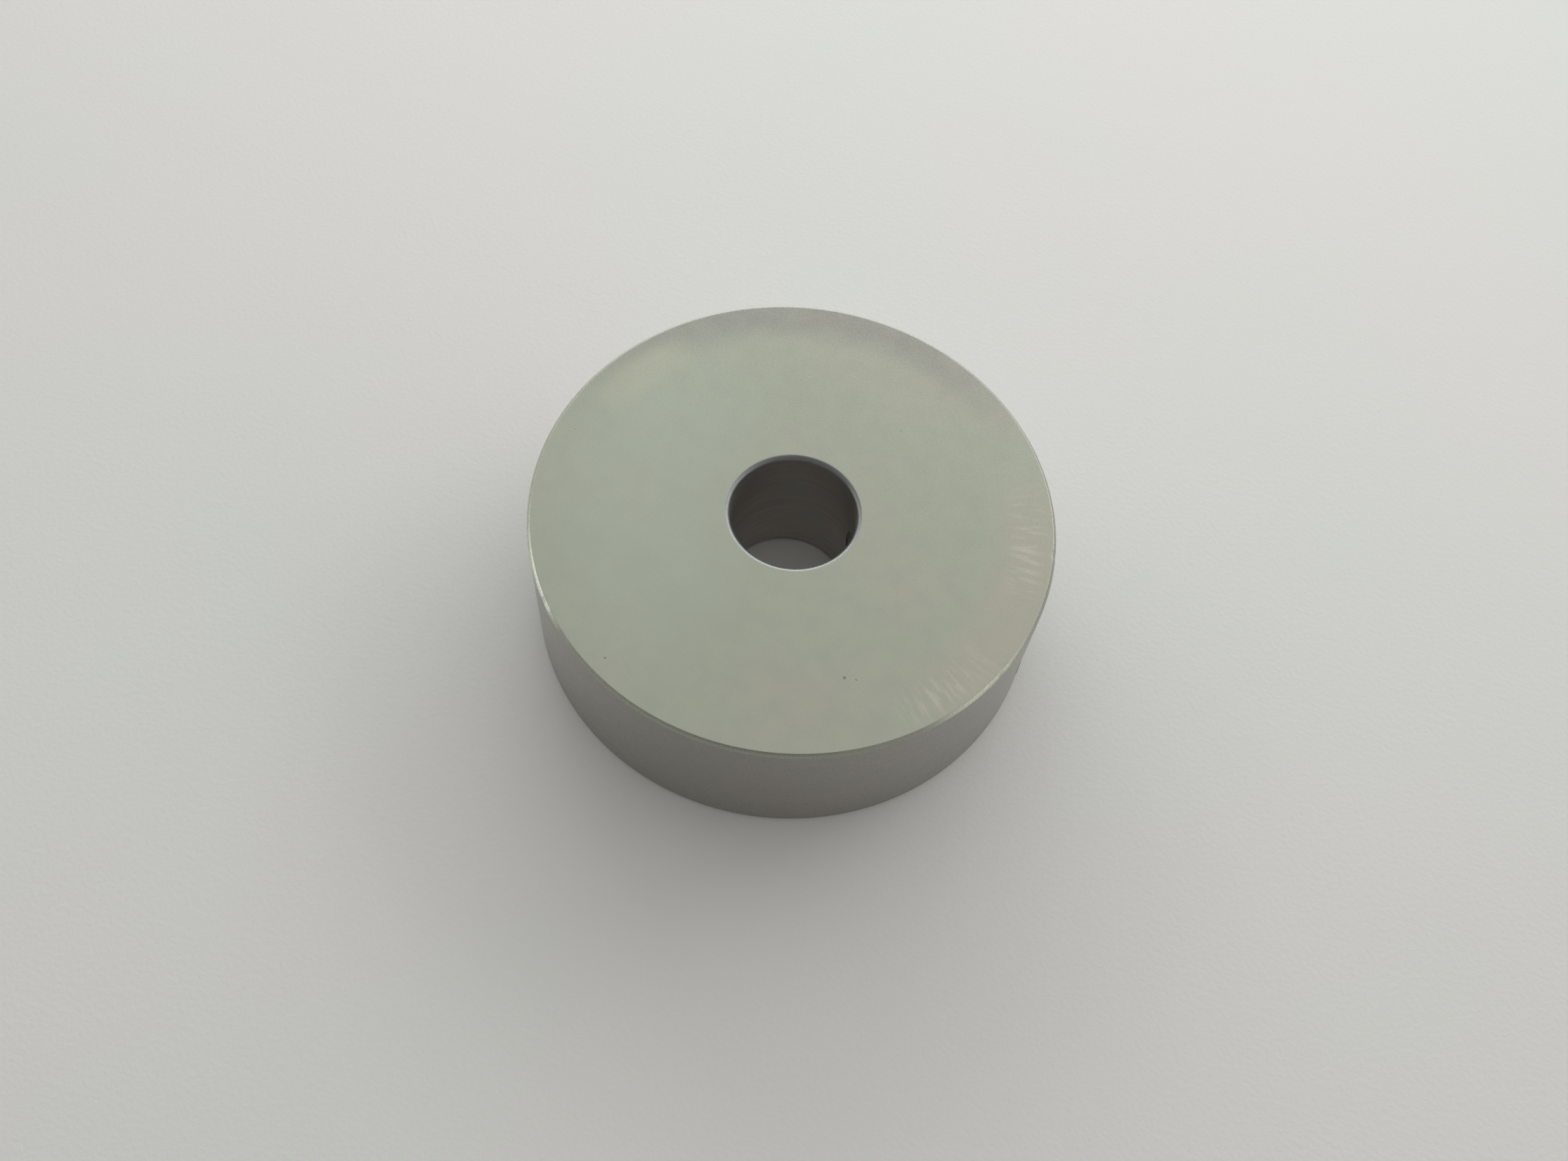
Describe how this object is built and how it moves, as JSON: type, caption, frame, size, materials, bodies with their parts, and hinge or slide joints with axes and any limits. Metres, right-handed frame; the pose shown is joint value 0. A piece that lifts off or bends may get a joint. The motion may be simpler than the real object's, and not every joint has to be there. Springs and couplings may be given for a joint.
{
  "type": "shaft collar",
  "caption": "Thick set-screw shaft collar: a ground steel ring with a plain through bore, clamped to its shaft by a radial socket set screw with a brass swivel pad.",
  "frame": {"origin": "centre of the lower face, on the bore's axis", "axes": "+Z along the bore's axis, +X along the set screw's axis towards its socket end"},
  "size_m": [0.033, 0.033, 0.01],
  "materials": {
    "ground_steel": "satin, faces ground with a fine even grain, outside turned and a little darker",
    "black_oxide_steel": "hardened alloy steel with a thin black oxide and a trace of oil",
    "brass": "turned, bright"
  },
  "bodies": {
    "collar": {"collar_ring": "ground_steel"},
    "pad": {"swivel_pad": "brass"},
    "screw": {"set_screw": "black_oxide_steel"}
  },
  "joints": [
    {"name": "screw_travel", "type": "slide", "parent": "collar", "child": "pad", "axis": [1, 0, 0], "range_m": [-0.0003, 0.0128]},
    {"name": "screw_turn", "type": "hinge", "parent": "pad", "child": "screw", "pos_m": [0.01, 0, 0.005], "axis": [1, 0, 0], "range_deg": [-135, 5760]}
  ],
  "couplings": [
    {"joint": "screw_turn", "follows": "screw_travel", "rad_per_m": 7854}
  ]
}
